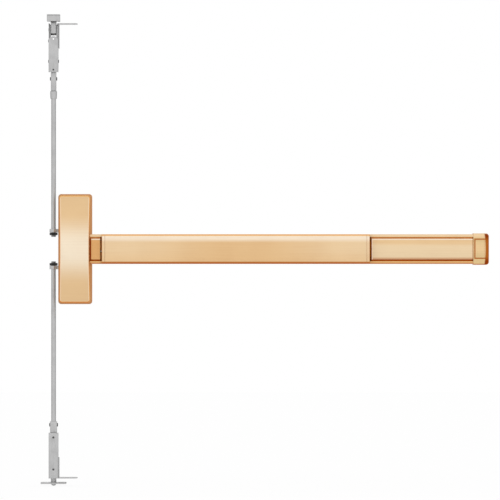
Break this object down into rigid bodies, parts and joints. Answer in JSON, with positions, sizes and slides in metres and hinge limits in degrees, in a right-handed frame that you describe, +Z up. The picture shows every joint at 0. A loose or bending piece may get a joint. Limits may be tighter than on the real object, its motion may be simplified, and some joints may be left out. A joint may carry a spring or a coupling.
{
  "type": "concealed vertical rod exit device",
  "caption": "Push bar door exit device: crowned head, railed push pad, rounded end cap, and concealed rods that work a swinging top latch and a round bottom bolt.",
  "frame": {"origin": "centre of the head's back, on the door's inner face", "axes": "+X along the push bar away from the head, +Y into the door, +Z up"},
  "size_m": [0.895, 0.1042, 0.9438],
  "materials": {
    "satin_bronze": "satin, lightly brushed, clear coated",
    "plated_steel": "dull zinc plate",
    "black_screws": "black oxide",
    "spring_wire": "drawn wire"
  },
  "bodies": {
    "chassis": {"head_cover": "satin_bronze", "head_baseplate": "plated_steel", "cover_screw_top": "satin_bronze", "cover_screw_bottom": "satin_bronze", "upper_lever_stud": "plated_steel", "lower_lever_stud": "plated_steel", "through_bolt_upper": "plated_steel", "through_bolt_lower": "plated_steel", "rail_channel": "satin_bronze", "neck_cover_plate": "satin_bronze", "rail_cover_plate": "satin_bronze", "end_cap": "satin_bronze", "end_bracket": "plated_steel", "end_cap_screw": "satin_bronze", "crank_bracket_left": "plated_steel", "crank_bracket_right": "plated_steel", "crank_pivot_left": "plated_steel", "crank_pivot_right": "plated_steel", "spring_stop": "plated_steel", "return_spring": "spring_wire", "slide_housing": "plated_steel", "top_latch_case": "plated_steel", "top_latch_bracket": "plated_steel", "top_bolt_pivot_pin": "black_screws", "latch_guide_pin": "black_screws", "top_strike_box": "plated_steel", "top_strike_plate": "plated_steel", "bottom_latch_case": "plated_steel", "bottom_bolt_guide": "plated_steel", "bottom_latch_bracket": "plated_steel", "bottom_bolt_spring": "spring_wire", "bottom_strike_plate": "plated_steel"},
    "push_bar": {"push_pad": "satin_bronze", "push_pad_end_left": "satin_bronze", "push_pad_end_right": "satin_bronze", "pad_lug_left": "plated_steel", "pad_lug_right": "plated_steel"},
    "crank_left": {"bell_crank_left": "plated_steel"},
    "crank_right": {"bell_crank_right": "plated_steel"},
    "drive": {"drive_bar": "plated_steel", "drive_yoke": "plated_steel"},
    "lever_upper": {"upper_lever": "plated_steel"},
    "lever_lower": {"lower_lever": "plated_steel"},
    "upper_rod": {"upper_slide": "plated_steel", "upper_rod_nut": "black_screws", "top_rod": "plated_steel", "top_rod_fitting": "plated_steel", "latch_connector": "plated_steel", "connector_cross_screw": "black_screws", "latch_slider": "plated_steel", "latch_slider_pin": "black_screws"},
    "lower_rod": {"lower_slide": "plated_steel", "lower_rod_nut": "black_screws", "bottom_rod": "plated_steel", "rod_sleeve": "plated_steel", "sleeve_cross_screw": "black_screws", "bottom_bolt": "plated_steel", "bottom_bolt_pin": "plated_steel"},
    "latch_bolt": {"top_bolt": "plated_steel", "latch_link_pin": "plated_steel"}
  },
  "joints": [
    {"name": "push_bar_press", "type": "slide", "parent": "chassis", "child": "push_bar", "axis": [0, 1, 0], "range_m": [0, 0.014], "stiffness_N_per_m": 1500, "springref_m": -0.02},
    {"name": "crank_left_turn", "type": "hinge", "parent": "chassis", "child": "crank_left", "pos_m": [0.115, -0.03, 0], "axis": [0, 0, -1], "range_deg": [0, 24.5]},
    {"name": "crank_right_turn", "type": "hinge", "parent": "chassis", "child": "crank_right", "pos_m": [0.55, -0.03, 0], "axis": [0, 0, -1], "range_deg": [0, 24.5]},
    {"name": "drive_bar_slide", "type": "slide", "parent": "chassis", "child": "drive", "axis": [1, 0, 0], "range_m": [0, 0.00764], "deforming": ["return_spring"]},
    {"name": "upper_lever_turn", "type": "hinge", "parent": "chassis", "child": "lever_upper", "pos_m": [0.012, -0.014, 0.026], "axis": [0, -1, 0], "range_deg": [0, 21.84]},
    {"name": "lower_lever_turn", "type": "hinge", "parent": "chassis", "child": "lever_lower", "pos_m": [0.012, -0.014, -0.026], "axis": [0, 1, 0], "range_deg": [0, 21.84]},
    {"name": "top_rod_slide", "type": "slide", "parent": "chassis", "child": "upper_rod", "axis": [0, 0, -1], "range_m": [0, 0.01235]},
    {"name": "bottom_rod_slide", "type": "slide", "parent": "chassis", "child": "lower_rod", "axis": [0, 0, 1], "range_m": [0, 0.01235], "deforming": ["bottom_bolt_spring"]},
    {"name": "top_bolt_turn", "type": "hinge", "parent": "chassis", "child": "latch_bolt", "pos_m": [-0.044, 0.0335, 0.44], "axis": [1, 0, 0], "range_deg": [0, 60]}
  ],
  "couplings": [
    {"joint": "crank_left_turn", "follows": "push_bar_press", "rad_per_m": 30.535},
    {"joint": "crank_right_turn", "follows": "push_bar_press", "rad_per_m": 30.535},
    {"joint": "drive_bar_slide", "follows": "push_bar_press", "ratio": 0.54545},
    {"joint": "upper_lever_turn", "follows": "push_bar_press", "rad_per_m": 27.214},
    {"joint": "lower_lever_turn", "follows": "push_bar_press", "rad_per_m": 27.214},
    {"joint": "top_rod_slide", "follows": "push_bar_press", "ratio": 0.88154},
    {"joint": "bottom_rod_slide", "follows": "push_bar_press", "ratio": 0.88154},
    {"joint": "top_bolt_turn", "follows": "push_bar_press", "rad_per_m": 74.79}
  ]
}
